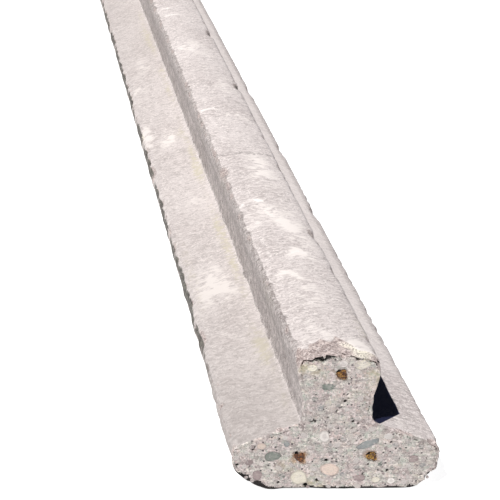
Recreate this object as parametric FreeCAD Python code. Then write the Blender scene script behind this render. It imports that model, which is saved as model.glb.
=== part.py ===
import FreeCAD, Part
import math
import os

# A precast, prestressed concrete floor beam of the inverted-T kind, which carries hollow floor
# blocks on the two ledges of its flange. It lies along Y on its flat underside, with X across it
# and Z up. The origin is the middle of the underside of the beam's own box. The end at -Y was sawn
# a little out of square, and the end at +Y is square.
#
# Inside it run three strands, each of three wires laid together like a rope. The gravel that the
# saw cut through at the two ends is made as separate pebbles, each in its own socket.

Vector = FreeCAD.Vector

# ---------------------------------------------------------------- driving dimensions, mm and degrees

# Whole beam
beam_length = 1200.0
beam_height = 95.0
flange_width = 120.0

# Flange, the wide foot
flange_edge_height = 31.4       # where the flange's side would meet the slope of its ledge
flange_corner_radius = 25.0     # the two lower corners
flange_edge_radius = 5.0        # the two upper corners
ledge_slope = 24.0              # fall of each ledge, from the waist out to the flange's edge

# Waist and head, the upright
waist_width = 40.0
waist_root_radius = 6.0         # hollow corner where a ledge turns up into the waist
head_width = 46.0
crown_rise = 4.0                # how far the rounded top stands above the head's two top edges
head_side = 9.5                 # upright part of the head's side, below those edges
flare_height = 14.5             # below that, the height over which the waist widens to the head
flare_radius = 8.0              # both bends of the flare
head_edge_radius = 3.0

# Saw cuts
near_saw_angle = 10.0           # how far the cut at -Y is turned from square, nearer -Y at +X

# Strands
wire_diameter = 3.0
wires_per_strand = 3
wire_gap = 0.05                 # free space between neighbouring wires of a strand
strand_lay = 91.0               # length in which a wire goes once round its strand
duct_clearance = 0.05           # free space between a strand and the concrete round it
lower_strand_spacing = 41.0     # between the axes of the two lower strands
lower_strand_height = 24.0
upper_strand_depth = 13.0       # below the top of the crown
upper_strand_offset = 1.5       # to +X of the middle

# Pebbles. Each row is one pebble that the saw cut through: its zone, its place in that zone, its
# width and height on the sawn face, and how far it is turned. A place in the flange zone is a share
# of half the flange's width and of its edge height. A place in the upright zone is a share of half
# the waist's width, and of the height from the flange's edge to the top. A place in the strand zone
# is in mm, across from the lower right strand's axis and up from the top of its duct.
pebble_depth = 4.5              # how far each one bulges into the concrete
pebble_ring_shares = (-0.3, 0.0, 0.5, 0.8, 0.95)     # of that depth, where its rounding is drawn
near_pebbles = {
    "white_quartz_pebbles": [
        ("flange", 0.54, 0.19, 5.2, 4.5, 0.0),
        ("upright", -0.35, 0.12, 5.6, 8.0, 10.0),
        ("upright", 0.10, 0.91, 5.2, 4.6, 0.0),
    ],
    "cream_limestone_pebbles": [
        ("flange", -0.35, 0.30, 9.8, 10.4, 20.0),
        ("flange", 0.39, 0.22, 5.2, 4.4, 0.0),
        ("upright", 0.62, 0.88, 8.6, 5.0, 5.0),
        ("upright", -0.74, 0.87, 6.0, 4.4, 15.0),
    ],
    "pink_granite_pebbles": [
        ("flange", -0.055, 0.48, 12.0, 8.4, -8.0),
        ("flange", -0.71, 1.04, 5.7, 4.3, 0.0),
    ],
    "green_grey_pebbles": [
        ("flange", -0.60, 0.80, 9.7, 6.2, 10.0),
        ("upright", -0.30, 0.665, 8.2, 4.1, 0.0),
    ],
    "blue_slate_pebbles": [
        ("strand", -2.7, 6.2, 15.5, 4.6, 25.0),
        ("flange", -0.47, 1.09, 3.6, 4.3, 0.0),
    ],
    "mauve_sandstone_pebbles": [
        ("flange", -0.745, 0.37, 5.7, 7.0, -10.0),
        ("flange", 0.23, 0.27, 7.2, 4.5, 0.0),
        ("flange", 0.74, 0.70, 6.4, 5.0, 30.0),
    ],
}
far_pebbles = {
    "white_quartz_pebbles": [
        ("flange", -0.62, 0.36, 6.4, 5.0, 0.0),
        ("upright", 0.45, 0.72, 7.0, 5.4, 30.0),
    ],
    "cream_limestone_pebbles": [
        ("flange", 0.10, 0.30, 9.6, 7.0, -15.0),
        ("upright", -0.35, 0.90, 8.2, 5.2, 5.0),
    ],
    "pink_granite_pebbles": [
        ("flange", 0.66, 0.42, 8.6, 6.4, 20.0),
        ("upright", 0.30, 0.30, 7.4, 6.0, -10.0),
    ],
    "green_grey_pebbles": [
        ("flange", -0.12, 0.93, 9.0, 6.0, 10.0),
        ("flange", 0.62, 1.02, 6.2, 4.8, 0.0),
    ],
    "blue_slate_pebbles": [
        ("flange", -0.72, 0.88, 7.6, 4.4, -20.0),
        ("upright", -0.42, 0.52, 8.4, 4.2, 35.0),
    ],
    "mauve_sandstone_pebbles": [
        ("flange", -0.20, 0.32, 6.0, 5.2, 0.0),
        ("flange", 0.34, 0.20, 5.4, 4.6, 0.0),
    ],
}

# ---------------------------------------------------------------- worked out from them

flange_half = flange_width / 2
waist_half = waist_width / 2
head_half = head_width / 2
ledge_rise = math.tan(math.radians(ledge_slope))
waist_root_height = flange_edge_height + (flange_half - waist_half) * ledge_rise
head_edge_height = beam_height - crown_rise
head_shoulder_height = head_edge_height - head_side
waist_top_height = head_shoulder_height - flare_height
near_lean = math.tan(math.radians(near_saw_angle))
near_y = -beam_length / 2 + flange_half * near_lean     # the near cut, at the middle of the beam
far_y = beam_length / 2
strand_radius_to_wire = (wire_diameter + wire_gap) / (2 * math.sin(math.pi / wires_per_strand))
duct_radius = strand_radius_to_wire + wire_diameter / 2 + duct_clearance
over_length = 2 * flange_width * near_lean + wire_diameter   # spare length, for the saw to take off


def sawn_space():
    """The block of space between the two saw cuts."""
    corners = [
        Vector(-flange_width, near_y + flange_width * near_lean, -beam_height),
        Vector(flange_width, near_y - flange_width * near_lean, -beam_height),
        Vector(flange_width, far_y, -beam_height),
        Vector(-flange_width, far_y, -beam_height),
    ]
    outline = Part.makePolygon(corners + corners[:1])
    return Part.Face(outline).extrude(Vector(0, 0, 3 * beam_height))


def half_outline(side):
    """Sharp corners of one side of the section, from the underside up to the head's top edge."""
    return [
        (side * flange_half, 0.0),
        (side * flange_half, flange_edge_height),
        (side * waist_half, waist_root_height),
        (side * waist_half, waist_top_height),
        (side * head_half, head_shoulder_height),
        (side * head_half, head_edge_height),
    ]


def section_face(y):
    """The beam's section, with sharp corners, in the upright plane at y."""
    right = [Vector(x, y, z) for x, z in half_outline(1)]
    left = [Vector(x, y, z) for x, z in half_outline(-1)]
    crown = Part.Arc(right[-1], Vector(0, y, beam_height), left[-1]).toShape()
    sides = Part.makePolygon(list(reversed(left)) + right)
    return Part.Face(Part.Wire(sides.Edges + [crown]))


def root_radius_that_fits():
    """The hollow corner's radius, kept within the waist where the waist is short."""
    most_of_waist = 0.8 * (waist_top_height - waist_root_height)
    reach_per_radius = math.tan(math.radians(90 - ledge_slope) / 2)
    return min(waist_root_radius, most_of_waist / reach_per_radius)


def rounded_beam():
    """The moulded beam, over-long, with every lengthwise corner rounded."""
    start = near_y - over_length
    beam = section_face(start).extrude(Vector(0, far_y + over_length - start, 0))
    radii = [
        flange_corner_radius,
        flange_edge_radius,
        root_radius_that_fits(),
        flare_radius,
        flare_radius,
        head_edge_radius,
    ]
    for side in (1, -1):
        for (x, z), radius in zip(half_outline(side), radii):
            edge = lengthwise_edge(beam, x, z)
            beam = beam.makeFillet(radius, [edge]).Solids[0]
    return beam


def lengthwise_edge(solid, x, z):
    """The straight edge of the solid that runs along Y through x and z."""
    near_enough = 1e-4
    for edge in solid.Edges:
        middle = edge.CenterOfMass
        spans = abs(edge.Vertexes[0].Y - edge.Vertexes[-1].Y)
        if math.hypot(middle.x - x, middle.z - z) < near_enough and spans > beam_length / 2:
            return edge
    raise ValueError("no lengthwise edge at %.2f, %.2f" % (x, z))


def pebble_places(rows):
    """Where each pebble of a list lies on the section: x, z, width, height and turn."""
    upright_height = beam_height - flange_edge_height
    places = []
    for zone, across, up, width, height, turn in rows:
        if zone == "flange":
            x = across * flange_half
            z = up * flange_edge_height
        elif zone == "upright":
            x = across * waist_half
            z = flange_edge_height + up * upright_height
        else:
            x = lower_strand_spacing / 2 + across
            z = lower_strand_height + duct_radius + up
        places.append((x, z, width, height, turn))
    return places


def pebble(place, y, inward):
    """A rounded pebble that bulges from the upright plane at y, inward to +Y or -Y."""
    x, z, width, height, turn = place
    rings = []
    for share in pebble_ring_shares:
        size = math.sqrt(1 - share ** 2)
        stretch = FreeCAD.Matrix()
        stretch.scale(size * width / 2, 1.0, size * height / 2)
        circle = Part.Circle(Vector(0, 0, 0), Vector(0, 1, 0), 1.0).toShape()
        ring = circle.transformGeometry(stretch)
        ring.translate(Vector(0, inward * share * pebble_depth, 0))
        rings.append(Part.Wire(ring))
    stone = Part.makeLoft(rings, True)
    stone.rotate(Vector(0, 0, 0), Vector(0, 1, 0), turn)
    stone.translate(Vector(x, y, z))
    return stone


def near_stones(rows, space):
    """The pebbles of a list, cut flush by the saw at the near end."""
    stones = [pebble(place, near_y - place[0] * near_lean, 1) for place in pebble_places(rows)]
    return [stone.common(space).Solids[0] for stone in stones]


def far_stones(rows, space):
    """The pebbles of a list, cut flush by the saw at the far end."""
    stones = [pebble(place, far_y, -1) for place in pebble_places(rows)]
    return [stone.common(space).Solids[0] for stone in stones]


def strand_axes():
    """Each strand's name, with the x and z of its axis."""
    return {
        "lower_left_strand": (-lower_strand_spacing / 2, lower_strand_height),
        "lower_right_strand": (lower_strand_spacing / 2, lower_strand_height),
        "upper_strand": (upper_strand_offset, beam_height - upper_strand_depth),
    }


def duct(x, z):
    """The round way through the concrete that a strand fills."""
    start = near_y - over_length
    length = far_y + over_length - start
    return Part.makeCylinder(duct_radius, length, Vector(x, start, z), Vector(0, 1, 0))


def straight_lay_wire(turned):
    """One wire of a strand about the Z axis, starting at the angle it is turned to."""
    length = far_y - near_y + 2 * over_length
    straight_sided = 0.0
    path = Part.makeLongHelix(strand_lay, length, strand_radius_to_wire, straight_sided)
    along = Vector(0, 2 * math.pi * strand_radius_to_wire, strand_lay)
    circle = Part.Circle(Vector(strand_radius_to_wire, 0, 0), along, wire_diameter / 2)
    wire = path.makePipeShell([Part.Wire(circle.toShape())], True, True)
    wire.rotate(Vector(0, 0, 0), Vector(0, 0, 1), turned)
    return wire


def strand_wires(x, z, space):
    """The wires of one strand, laid along the beam and sawn flush with both ends."""
    wires = []
    for number in range(wires_per_strand):
        wire = straight_lay_wire(number * 360 / wires_per_strand)
        wire.rotate(Vector(0, 0, 0), Vector(1, 0, 0), -90)
        wire.translate(Vector(x, near_y - over_length, z))
        wires.append(wire.common(space).Solids[0])
    return wires


def write(node, solids):
    """One STEP file for the node, holding its solid or its group of solids."""
    shape = solids[0] if len(solids) == 1 else Part.makeCompound(solids)
    for solid in solids:
        if not solid.isValid() or solid.Volume <= 0:
            raise ValueError("%s holds a bad solid" % node)
    shape.exportStep("parts/%s.step" % node)
    volume = sum(solid.Volume for solid in solids)
    print("%-28s %2d solids %12.1f mm3" % (node, len(solids), volume))


def main():
    os.makedirs("parts", exist_ok=True)
    space = sawn_space()

    pebbles = {}
    for kind in near_pebbles:
        pebbles["near_" + kind] = near_stones(near_pebbles[kind], space)
        pebbles["far_" + kind] = far_stones(far_pebbles[kind], space)
    ducts = [duct(x, z) for x, z in strand_axes().values()]
    fills = ducts + [stone for stones in pebbles.values() for stone in stones]
    concrete = rounded_beam().common(space).cut(fills)
    write("concrete_body", concrete.Solids)

    for node, stones in pebbles.items():
        write(node, stones)

    for strand, (x, z) in strand_axes().items():
        for number, wire in enumerate(strand_wires(x, z, space), start=1):
            write("%s_wire_%d" % (strand, number), [wire])


main()
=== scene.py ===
# %% [markdown]
# # A short prestressed floor beam
# The object is a precast concrete joist of the inverted-T kind: a wide flange, a narrow waist and a
# slightly wider head, with three twisted steel strands inside. Its looks come from three things:
# slip-formed concrete on the long sides, a sawn face full of cut gravel at each end, and the rusty
# strand ends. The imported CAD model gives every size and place, and is loaded first.

# %% Load the frame
import math
import random

import bpy
import numpy as np
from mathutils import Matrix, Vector, kdtree, noise


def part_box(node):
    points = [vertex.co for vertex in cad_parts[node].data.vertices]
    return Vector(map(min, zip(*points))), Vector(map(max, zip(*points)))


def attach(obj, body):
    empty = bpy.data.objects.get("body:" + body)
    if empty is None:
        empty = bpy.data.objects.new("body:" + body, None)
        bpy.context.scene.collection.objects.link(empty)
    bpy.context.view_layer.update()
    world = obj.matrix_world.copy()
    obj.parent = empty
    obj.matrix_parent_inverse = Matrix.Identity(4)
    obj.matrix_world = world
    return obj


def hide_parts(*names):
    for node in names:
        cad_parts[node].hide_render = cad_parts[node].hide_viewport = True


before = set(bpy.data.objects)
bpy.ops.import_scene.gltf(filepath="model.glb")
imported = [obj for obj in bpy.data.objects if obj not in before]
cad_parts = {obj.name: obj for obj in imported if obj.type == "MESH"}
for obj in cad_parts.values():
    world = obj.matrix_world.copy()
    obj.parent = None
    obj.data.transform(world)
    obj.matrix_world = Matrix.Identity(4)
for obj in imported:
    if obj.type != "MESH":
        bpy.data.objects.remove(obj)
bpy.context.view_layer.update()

body_low, body_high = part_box("concrete_body")

# %% [markdown]
# ## Sizes
# The beam's box comes from the CAD body. The few sizes inside the section that a box can't give are
# named here once: the ledge's slope, the waist and head, and the slant of the near saw cut.

# %% Name the sizes
mm = 0.001
flange_half = (body_high[0] - body_low[0]) / 2
top_z = body_high[2]
foot_z = 31.4 * mm
ledge_slope = math.radians(24)
waist_half = 20 * mm
head_half = 23 * mm
crown_rise = 4 * mm
head_edge_z = top_z - crown_rise
shoulder_z = head_edge_z - 9.5 * mm
waist_top_z = shoulder_z - 14.5 * mm
waist_root_z = foot_z + (flange_half - waist_half) * math.tan(ledge_slope)
saw_lean = math.tan(math.radians(10))
near_y = body_low[1] + flange_half * saw_lean
far_y = body_high[1]
strand_axes = {
    "lower_left_strand": (-20.5 * mm, 24 * mm),
    "lower_right_strand": (20.5 * mm, 24 * mm),
    "upper_strand": (1.5 * mm, top_z - 13 * mm),
}


def near_plane_y(x):
    """Where the slanted saw cut at the near end lies, at x."""
    return near_y - x * saw_lean


print("waist root at", round(waist_root_z / mm, 1), "mm, near cut at", round(near_y / mm, 1), "mm")

# %% [markdown]
# ## Working by hand, in code
# Every operator acts on what is selected. These helpers make one piece the only one selected, and
# then pick its vertices, edges or faces by a test on their places.

# %% Helpers to select and read a mesh
PICK_MODES = {"VERT": (True, False, False), "EDGE": (False, True, False), "FACE": (False, False, True)}


def work_on(piece):
    """Leaves edit mode and makes the piece the only one selected."""
    if bpy.context.object and bpy.context.object.mode != "OBJECT":
        bpy.ops.object.mode_set(mode="OBJECT")
    bpy.ops.object.select_all(action="DESELECT")
    piece.select_set(True)
    bpy.context.view_layer.objects.active = piece


def read(parts, key, width=3, kind=float):
    """One row of values for each of these parts of a mesh."""
    flat = np.empty(len(parts) * width, dtype=kind)
    parts.foreach_get(key, flat)
    return flat.reshape(-1, width)


def points(piece):
    """The places of the piece's vertices."""
    return read(piece.data.vertices, "co")


def edge_pairs(piece):
    """The two vertex numbers of each edge."""
    return read(piece.data.edges, "vertices", 2, int)


def put_points(piece, where):
    """Moves the piece's vertices to these places."""
    piece.data.vertices.foreach_set("co", where.ravel())
    piece.data.update()


def pick(piece, kind, wanted):
    """Enters edit mode with only the wanted vertices, edges or faces selected."""
    work_on(piece)
    mesh = piece.data
    bpy.context.tool_settings.mesh_select_mode = PICK_MODES[kind]
    groups = {"VERT": mesh.vertices, "EDGE": mesh.edges, "FACE": mesh.polygons}
    for parts in groups.values():
        parts.foreach_set("select", np.zeros(len(parts), dtype=bool))
    groups[kind].foreach_set("select", np.asarray(wanted, dtype=bool))
    bpy.ops.object.mode_set(mode="EDIT")


# %% [markdown]
# ## The beam's section
# The real beam is extruded from a moving mould, so the same section runs from end to end. A plane
# is stood up as the foot, and its top edge is extruded upwards to the waist, the flare and the head.

# %% Draw the section and run it to the far end
bpy.ops.object.select_all(action="DESELECT")
bpy.ops.mesh.primitive_plane_add(size=1, location=(0, 0, 0.5), rotation=(math.pi / 2, 0, 0))
beam = bpy.context.object
beam.name = "cast_beam"
bpy.ops.object.transform_apply(location=True, rotation=True, scale=True)
bpy.ops.object.mode_set(mode="EDIT")
bpy.ops.mesh.select_all(action="SELECT")
bpy.ops.transform.resize(value=(2 * flange_half, 1, foot_z), center_override=(0, 0, 0))
bpy.ops.transform.translate(value=(0, near_y, 0))

tiny = 0.001 * mm
half, level = flange_half, foot_z
for next_half, next_level in (
    (waist_half, waist_root_z),
    (waist_half, waist_top_z),
    (head_half, shoulder_z),
    (head_half, head_edge_z),
):
    work_on(beam)
    heights = points(beam)[edge_pairs(beam)][:, :, 2]
    pick(beam, "EDGE", heights.min(axis=1) > level - tiny)
    rise = {"value": (0, 0, next_level - level)}
    bpy.ops.mesh.extrude_edges_move(TRANSFORM_OT_translate=rise)
    bpy.ops.transform.resize(value=(next_half / half, 1, 1), center_override=(0, near_y, next_level))
    half, level = next_half, next_level

bpy.ops.mesh.select_all(action="SELECT")
run = {"value": (0, far_y - near_y, 0)}
bpy.ops.mesh.extrude_region_move(TRANSFORM_OT_translate=run)
work_on(beam)
print("sharp beam:", len(beam.data.polygons), "faces")

# %% [markdown]
# ## Round the lengthwise corners
# Each corner of the mould has its own radius, so each pair of edges is bevelled alone. For an arc of
# radius R that turns by an angle, the bevel starts R * tan(angle / 2) from the corner. The right
# foot corner is fuller than the left one, as on the real piece.

# %% Bevel each corner by its own radius
lean_out = math.atan2(head_half - waist_half, shoulder_z - waist_top_z)
quarter = math.pi / 2
steep = quarter - ledge_slope
# x, z, radius, angle turned, steps
corners = [
    (-flange_half, 0, 25 * mm, quarter, 12),
    (flange_half, 0, 19 * mm, quarter, 10),
    (flange_half, foot_z, 5 * mm, steep, 5),
    (-flange_half, foot_z, 5 * mm, steep, 5),
    (waist_half, waist_root_z, 4 * mm, steep, 4),
    (-waist_half, waist_root_z, 4 * mm, steep, 4),
    (waist_half, waist_top_z, 8 * mm, lean_out, 2),
    (-waist_half, waist_top_z, 8 * mm, lean_out, 2),
    (head_half, shoulder_z, 8 * mm, lean_out, 2),
    (-head_half, shoulder_z, 8 * mm, lean_out, 2),
    (head_half, head_edge_z, 3 * mm, quarter, 4),
    (-head_half, head_edge_z, 3 * mm, quarter, 4),
]


def edges_at(piece, x, z):
    """Which edges run lengthwise through x and z."""
    ends = points(piece)[edge_pairs(piece)]
    off = np.hypot(ends[:, :, 0] - x, ends[:, :, 2] - z).max(axis=1)
    return off < tiny


for x, z, radius, turn, steps in corners:
    work_on(beam)
    pick(beam, "EDGE", edges_at(beam, x, z))
    reach = radius * math.tan(turn / 2)
    bpy.ops.mesh.bevel(offset=reach, offset_type="OFFSET", segments=steps, profile=0.5, affect="EDGES")
work_on(beam)
print("rounded beam:", len(beam.data.polygons), "faces")

# %% [markdown]
# ## Open the ends and lay the rows and columns
# The relief of real concrete needs points to move. The caps are taken off for now, the wide strips
# are divided into narrow columns, and the whole tube into rows. The rows are then slid so that they
# lie close together at the two ends, where chips and saw marks are, and wider apart between.

# %% Divide the tube
pick(beam, "FACE", np.abs(read(beam.data.polygons, "normal")[:, 1]) > 0.9)
bpy.ops.mesh.delete(type="ONLY_FACE")
bpy.ops.mesh.select_all(action="SELECT")
bpy.ops.mesh.delete_loose(use_verts=True, use_edges=True, use_faces=False)

column = 2.2 * mm
underside_column = 5 * mm
work_on(beam)
while True:
    ends = points(beam)[edge_pairs(beam)]
    lengths = np.linalg.norm(ends[:, 0] - ends[:, 1], axis=1)
    across = np.abs(ends[:, 0, 1] - ends[:, 1, 1]) < tiny
    wanted_column = np.where(ends[:, :, 2].max(axis=1) < tiny, underside_column, column)
    cuts = np.ceil(lengths / wanted_column - 0.3).astype(int) - 1
    todo = across & (cuts > 0)
    if not todo.any():
        break
    number = cuts[todo].max()
    pick(beam, "EDGE", todo & (cuts == number))
    bpy.ops.mesh.subdivide(number_cuts=int(number))
    work_on(beam)

finest_row = 0.9 * mm
row_growth = 1.05
end_row_count = 32
row_cuts = (18, 18)
row_count = math.prod(row_cuts)


def row_places(total):
    """How far each row lies from the near end."""
    end_rows = [0.0]
    for number in range(end_row_count):
        end_rows.append(end_rows[-1] + finest_row * row_growth**number)
    reach = end_rows[-1]
    middle = list(np.linspace(reach, total - reach, row_count - 2 * end_row_count + 1))[1:-1]
    return np.array(end_rows + middle + [total - place for place in reversed(end_rows)])


rows = row_places(far_y - near_y)
for cut_into in row_cuts:
    work_on(beam)
    ends = points(beam)[edge_pairs(beam)]
    pick(beam, "EDGE", np.abs(ends[:, 0, 1] - ends[:, 1, 1]) > 1 * mm)
    bpy.ops.mesh.subdivide(number_cuts=cut_into - 1)
work_on(beam)
print("tube:", len(beam.data.polygons), "faces in", len(rows) - 1, "rows")

# %% [markdown]
# ## Slant the near end and raise the crown
# The near saw cut isn't square, so each row is slid between the slanted near plane and the square
# far one. The flat top is raised to the crown, highest in the middle.

# %% Slide the rows and raise the crown
where = points(beam)
share = (where[:, 1] - near_y) / (far_y - near_y)
row_number = np.rint(share * (len(rows) - 1)).astype(int)
row_share = rows[row_number] / rows[-1]
near_at = near_y - where[:, 0] * saw_lean
where[:, 1] = near_at + (far_y - near_at) * row_share
crown = np.clip(1 - (where[:, 0] / head_half) ** 2, 0, 1) * crown_rise
lift = np.clip((where[:, 2] - (head_edge_z - 3 * mm)) / (3 * mm), 0, 1)
where[:, 2] += crown * lift
put_points(beam, where)

rim_pairs = edge_pairs(beam)[(row_number[edge_pairs(beam)] == 0).all(axis=1)]
rim = where[rim_pairs][:, :, [0, 2]]
print("outline of", len(rim), "edges")

# %% [markdown]
# ## Close the ends
# A sawn face is flat, but its gravel, pits and broken edges need a fine net of points. Each end is
# filled with one face, inset by three thin rings that follow the outline, and then cut by a lattice
# of planes. Everything else is hidden meanwhile, so that the cuts only touch the sawn face.

# %% Fill the ends and lay a lattice on them
ring_widths = (0.7 * mm, 0.8 * mm, 1.0 * mm)
near_pitch = 0.8 * mm
far_pitch = 1.7 * mm


def cut_all(place, normal, **how):
    """Cuts everything that shows along a plane."""
    bpy.ops.mesh.select_all(action="SELECT")
    bpy.ops.mesh.bisect(plane_co=place, plane_no=normal, **how)


def close_end(piece, row, pitch):
    """Fills the open end at this row with a fine lattice of faces."""
    work_on(piece)
    on_end = np.zeros(len(piece.data.vertices), dtype=bool)
    on_end[: len(row_number)] = row_number == row
    pick(piece, "EDGE", on_end[edge_pairs(piece)].all(axis=1))
    bpy.ops.mesh.edge_face_add()
    for width in ring_widths:
        bpy.ops.mesh.inset(thickness=width, depth=0)
    bpy.ops.mesh.hide(unselected=True)
    for x in np.arange(-flange_half + pitch / 2, flange_half, pitch):
        cut_all((x, 0, 0), (1, 0, 0))
    for z in np.arange(pitch / 2, top_z, pitch):
        cut_all((0, 0, z), (0, 0, 1))
    bpy.ops.mesh.reveal(select=False)
    work_on(piece)


close_end(beam, 0, near_pitch)
close_end(beam, len(rows) - 1, far_pitch)
pick(beam, "FACE", np.ones(len(beam.data.polygons)))
bpy.ops.mesh.normals_make_consistent(inside=False)
work_on(beam)
print("closed beam:", len(beam.data.polygons), "faces")

# %% [markdown]
# ## Sculpt the wear
# A sawn concrete end loses bits along its sharp edges, and the mould leaves the long sides a little
# wavy and pitted. Each point is moved inwards only, so the beam stays inside the CAD box. A point at
# depth d down the sawn face or e back along the side is slid onto the slope d / down + e / back = 1.

# %% Measure each point against the outline
work_on(beam)
where = points(beam)
normals = read(beam.data.vertices, "normal")
tube_row = np.full(len(where), -1)
tube_row[: len(row_number)] = row_number
middle_row = np.flatnonzero(tube_row == row_count // 2)
outline = kdtree.KDTree(len(middle_row))
for number in middle_row:
    outline.insert((where[number, 0], 0, where[number, 2]), number)
outline.balance()
nearest = np.array([outline.find((p[0], 0, p[2]))[1] for p in where])
outward = normals[nearest] * (1, 0, 1)
outward /= np.linalg.norm(outward, axis=1)[:, None]
edge_x, edge_z = where[nearest, 0], where[nearest, 2]

x, y, z = where.T.copy()
near_depth = y - near_plane_y(x)
far_depth = far_y - y
from_edge = np.clip(-((x - edge_x) * outward[:, 0] + (z - edge_z) * outward[:, 2]), 0, None)
from_edge[tube_row >= 0] = 0
touching = 0.01 * mm
on_near = near_depth < touching
on_far = far_depth < touching
print("points on the near face", int(on_near.sum()), "and on the far face", int(on_far.sum()))

# %% [markdown]
# ## Broken arrises
# The saw tore the top of the head and the right foot corner, and nibbled the rest of the rim. Each
# broken place has a middle on the outline, a spread, and how far it reaches down and back.

# %% Break the arrises
# middle x and z on the outline, spread, reach down the face, reach back along the side (mm)
broken_places = (
    (-8, 95, 12, 3.0, 22),
    (5, 95, 7, 2.2, 15),
    (16, 94, 6, 2.6, 8),
    (22, 90, 4, 2.0, 4),
    (-21, 90, 4, 2.4, 8),
    (55, 8, 7, 5.0, 5),
    (60, 21, 6, 2.2, 3),
    (57, 33, 6, 2.6, 4),
    (40, 41, 8, 1.4, 3),
    (-52, 7, 9, 1.8, 3),
    (-20, 0, 14, 1.4, 2),
    (-58, 28, 7, 1.6, 3),
    (-30, 44, 8, 1.2, 3),
    (21, 60, 7, 0.8, 1.5),
)
rim_wear = 0.5 * mm


def lay_noise(where, size, shift=0.0):
    """Smooth noise from -1 to 1 at each place, in lumps about size across (mm)."""
    return np.array([noise.noise(Vector(p)) for p in where / (np.asarray(size) * mm) + shift])


def smooth(amount):
    """Eases 0..1 in and out."""
    amount = np.clip(amount, 0, 1)
    return amount * amount * (3 - 2 * amount)


def hill(across, up, middle_x, middle_z, spread):
    """A round hill, 1 at its middle."""
    return np.exp(-((across - middle_x * mm) ** 2 + (up - middle_z * mm) ** 2) / (spread * mm) ** 2)


on_outline = np.stack([edge_x, np.zeros(len(where)), edge_z], axis=1)
ragged = 0.5 + 0.9 * lay_noise(on_outline, 5) + 0.6 * lay_noise(on_outline, 2.2, 7)
ragged = np.clip(ragged, 0.05, 2)
near_down = np.full(len(where), rim_wear)
near_back = np.full(len(where), 1.6 * rim_wear)
for middle_x, middle_z, spread, down, back in broken_places:
    share = hill(edge_x, edge_z, middle_x, middle_z, spread)
    near_down += down * mm * share
    near_back += back * mm * share
near_down *= 0.5 + 0.5 * ragged
near_back *= 0.6 + 0.4 * ragged
far_down = rim_wear * (0.4 + 1.6 * ragged)

near_slide = np.clip((1 - from_edge / near_down - near_depth / near_back) / 2, 0, None)
far_slide = np.clip((1 - from_edge / far_down - far_depth / (1.5 * far_down)) / 2, 0, None)
crumble = 0.5 + 0.5 * lay_noise(where, 1.8) + 0.35 * lay_noise(where, 4.5, 3)
shove_in = near_slide * near_down + far_slide * far_down
shove_in += smooth(3 * near_slide) * crumble * np.clip(0.3 * near_down, 0, 0.9 * mm)
shove_along = near_slide * near_back - 1.5 * far_slide * far_down
broken = smooth(5 * near_slide) * smooth((near_down - 0.8 * mm) / (0.8 * mm))
broken += 0.5 * smooth(5 * far_slide)

# %% [markdown]
# ## Pits, the crack and the mortar skin
# The mortar wears a little lower than the gravel, which is left standing. Air bubbles leave pits, and
# a crack follows the foot of the broken head. The wires' mouths are slightly hollow. Painted shade
# blackens the pits, the crack and one side of each mouth.

# %% Sink the mortar and the hollows
# x, z, radius (mm)
near_pits = [
    (-19.4, 65.1, 1.4), (-12.3, 49.6, 1.2), (3.9, 63.4, 1.4), (8.9, 49.3, 1.2), (8.6, 44.4, 1.0),
    (11.8, 47.9, 1.0), (-5.3, 21.4, 1.6), (-10.0, 6.9, 1.8), (-16.9, 3.6, 1.9), (-32.5, 5.4, 1.3),
    (-56.1, 19.1, 1.3), (30.0, 13.5, 1.4), (18.8, 18.1, 1.2), (31.1, 34.0, 1.2), (45.1, 36.0, 1.4),
    (22.4, 89.0, 1.4), (-14.0, 50.5, 1.6), (-47.0, 30.0, 1.3), (-22.5, 27.3, 1.5), (9.8, 91.6, 1.3),
]
small_pit_count = 70
dice = random.Random(11)
for _ in range(small_pit_count):
    near_pits.append((dice.uniform(-56, 56), dice.uniform(2, 92), dice.uniform(0.4, 1.0)))
# x, z, width (mm)
crack = ((-16.6, 90.0, 0.6), (-12.9, 91.2, 1.1), (-9.2, 90.6, 1.9), (-5.4, 91.8, 1.3), (-1.4, 93.2, 0.6))
crack_depth = 4 * mm
mouth_radius = 4.4 * mm
mouth_depth = 0.9 * mm

sunk = (0.1 + 0.12 * np.clip(lay_noise(where, 3, 5) + 0.5, 0, 1)) * mm
# Painted shade: black for the pits, the crack and one side of each strand's mouth.
black_shade = np.zeros(len(where))
for pit_x, pit_z, radius in near_pits:
    reach = np.hypot(x - pit_x * mm, z - pit_z * mm) / (radius * mm)
    hole = smooth(1.4 * (1 - reach))
    sunk += hole * radius * 0.9 * mm
    black_shade = np.maximum(black_shade, hole)
for start, stop in zip(np.array(crack), np.array(crack[1:])):
    for share in np.linspace(0, 1, 9):
        at_x, at_z, width = (start + (stop - start) * share) * mm
        reach = np.hypot(x - at_x, (z - at_z) * 1.3) / width
        hole = smooth(1.6 * (1 - reach))
        sunk = np.maximum(sunk, hole * crack_depth)
        black_shade = np.maximum(black_shade, hole)
for axis_x, axis_z in strand_axes.values():
    mouth = np.hypot(x - axis_x, z - axis_z) / mouth_radius
    sunk += smooth(2.2 * (1 - mouth)) * mouth_depth
    off_side = hill(x, z, axis_x / mm - 2.4, axis_z / mm + 2.4, 2.0)
    black_shade = np.maximum(black_shade, 1.2 * off_side * smooth(3 * (1 - mouth)))

# %% [markdown]
# ## The moulded sides
# The long sides are wavy, the flange's rim is lumpy where fins of mortar broke off, and the sharp
# arrises have lost small chips.

# %% Wave the sides and chip the long arrises
# x, z, spread, depth of the chips (mm)
long_arrises = (
    (-60, 29, 4.0, 2.2), (60, 29, 4.0, 1.3), (-23, 91, 2.6, 1.1), (23, 91, 2.6, 1.3), (-60, 12, 9.0, 0.9),
)
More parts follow.
